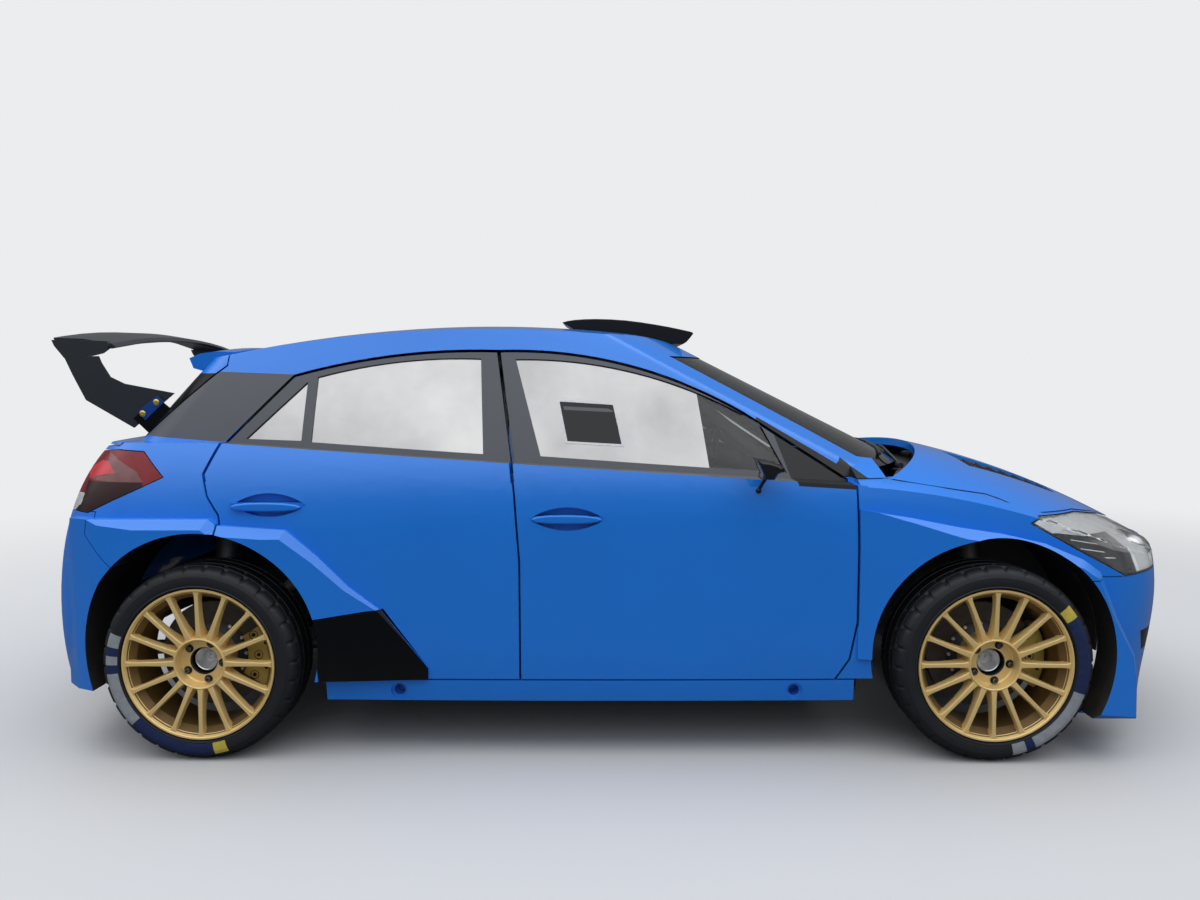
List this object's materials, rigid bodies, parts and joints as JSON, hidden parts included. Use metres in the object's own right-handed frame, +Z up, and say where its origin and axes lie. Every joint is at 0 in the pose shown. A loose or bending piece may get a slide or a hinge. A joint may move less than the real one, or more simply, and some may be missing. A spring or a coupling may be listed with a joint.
{
  "type": "rally car",
  "caption": "Five-door hatchback rally car with wide arches, deep gold spoked wheels, a large rear wing and opening doors, bonnet and tailgate.",
  "frame": {"origin": "on the ground, midway between the nose and the tail and between the sides", "axes": "+X forward, +Y to the left of the car, +Z up"},
  "size_m": [4.0343, 1.98, 1.4779],
  "materials": {
    "body_paint": "gloss",
    "black_trim": "satin",
    "window_glass": "gloss",
    "lamp_glass": "gloss",
    "tail_lamp_red": "gloss",
    "wheel_gold": "gloss",
    "caliper_gold": "gloss",
    "tyre_rubber": "matt",
    "disc_iron": "machined",
    "chassis_steel": "satin",
    "bare_steel": "brushed",
    "cast_alloy": "cast",
    "seat_fabric": "woven"
  },
  "bodies": {
    "chassis": {"body_shell": "body_paint", "front_fenders": "body_paint", "front_bumper": "body_paint", "rear_bumper": "body_paint", "sill_skirts": "body_paint", "roof_vent": "black_trim", "cowl": "black_trim", "dashboard": "black_trim", "windscreen": "window_glass", "head_lamps": "lamp_glass", "tail_lamps": "tail_lamp_red", "rear_calipers": "caliper_gold", "rear_uprights": "cast_alloy", "front_suspension": "chassis_steel", "rear_suspension": "chassis_steel", "front_frame": "chassis_steel", "floor_pan": "chassis_steel", "driveshafts": "bare_steel", "exhaust": "bare_steel", "grille": "black_trim", "lamp_housings": "black_trim", "radiator": "cast_alloy", "engine": "cast_alloy", "roll_cage": "chassis_steel", "bucket_seats": "seat_fabric"},
    "wheel_front_left": {"rim_front_left": "wheel_gold", "tyre_front_left": "tyre_rubber", "brake_disc_front_left": "disc_iron"},
    "front_door_left": {"front_door_left": "body_paint", "front_glass_left": "window_glass", "mirror_left": "body_paint"},
    "wheel_front_right": {"rim_front_right": "wheel_gold", "tyre_front_right": "tyre_rubber", "brake_disc_front_right": "disc_iron"},
    "front_door_right": {"front_door_right": "body_paint", "front_glass_right": "window_glass", "mirror_right": "body_paint"},
    "wheel_rear_left": {"rim_rear_left": "wheel_gold", "tyre_rear_left": "tyre_rubber", "brake_disc_rear_left": "disc_iron"},
    "rear_door_left": {"rear_door_left": "body_paint", "rear_glass_left": "window_glass"},
    "wheel_rear_right": {"rim_rear_right": "wheel_gold", "tyre_rear_right": "tyre_rubber", "brake_disc_rear_right": "disc_iron"},
    "rear_door_right": {"rear_door_right": "body_paint", "rear_glass_right": "window_glass"},
    "knuckle_left": {"upright_front_left": "cast_alloy", "caliper_front_left": "caliper_gold"},
    "knuckle_right": {"upright_front_right": "cast_alloy", "caliper_front_right": "caliper_gold"},
    "bonnet": {"bonnet": "body_paint", "bonnet_vents": "black_trim"},
    "tailgate": {"tailgate": "body_paint", "tailgate_glass": "window_glass", "rear_wing": "black_trim"},
    "steering_wheel": {"steering_wheel": "black_trim"}
  },
  "joints": [
    {"name": "steer_left", "type": "hinge", "parent": "chassis", "child": "knuckle_left", "pos_m": [1.205, 0.738, 0.206], "axis": [0, -0.2241, 0.9746], "range_deg": [-30, 30]},
    {"name": "steer_right", "type": "hinge", "parent": "chassis", "child": "knuckle_right", "pos_m": [1.205, -0.738, 0.206], "axis": [0, 0.2241, 0.9746], "range_deg": [-30, 30]},
    {"name": "wheel_front_left_spin", "type": "hinge", "parent": "knuckle_left", "child": "wheel_front_left", "pos_m": [1.205, 0.805, 0.32], "axis": [0, 1, 0], "continuous": true},
    {"name": "wheel_front_right_spin", "type": "hinge", "parent": "knuckle_right", "child": "wheel_front_right", "pos_m": [1.205, -0.805, 0.32], "axis": [0, 1, 0], "continuous": true},
    {"name": "wheel_rear_left_spin", "type": "hinge", "parent": "chassis", "child": "wheel_rear_left", "pos_m": [-1.365, 0.805, 0.32], "axis": [0, 1, 0], "continuous": true},
    {"name": "wheel_rear_right_spin", "type": "hinge", "parent": "chassis", "child": "wheel_rear_right", "pos_m": [-1.365, -0.805, 0.32], "axis": [0, 1, 0], "continuous": true},
    {"name": "front_door_left_hinge", "type": "hinge", "parent": "chassis", "child": "front_door_left", "pos_m": [0.768, 0.871, 0.6], "axis": [0, 0, -1], "range_deg": [0, 65]},
    {"name": "front_door_right_hinge", "type": "hinge", "parent": "chassis", "child": "front_door_right", "pos_m": [0.768, -0.871, 0.6], "axis": [0, 0, 1], "range_deg": [0, 65]},
    {"name": "rear_door_left_hinge", "type": "hinge", "parent": "chassis", "child": "rear_door_left", "pos_m": [-0.328, 0.871, 0.6], "axis": [0, 0, -1], "range_deg": [0, 65]},
    {"name": "rear_door_right_hinge", "type": "hinge", "parent": "chassis", "child": "rear_door_right", "pos_m": [-0.328, -0.871, 0.6], "axis": [0, 0, 1], "range_deg": [0, 65]},
    {"name": "bonnet_hinge", "type": "hinge", "parent": "chassis", "child": "bonnet", "pos_m": [0.875, 0, 0.915], "axis": [0, -1, 0], "range_deg": [0, 60]},
    {"name": "tailgate_hinge", "type": "hinge", "parent": "chassis", "child": "tailgate", "pos_m": [-1.368, 0, 1.372], "axis": [0, 1, 0], "range_deg": [0, 75]},
    {"name": "steering", "type": "hinge", "parent": "chassis", "child": "steering_wheel", "pos_m": [0.395, 0.37, 0.85], "axis": [-0.9404, 0, 0.3401], "range_deg": [-360, 360]}
  ],
  "couplings": [
    {"joint": "steer_right", "follows": "steer_left", "ratio": 1},
    {"joint": "steering", "follows": "steer_left", "ratio": 12}
  ]
}
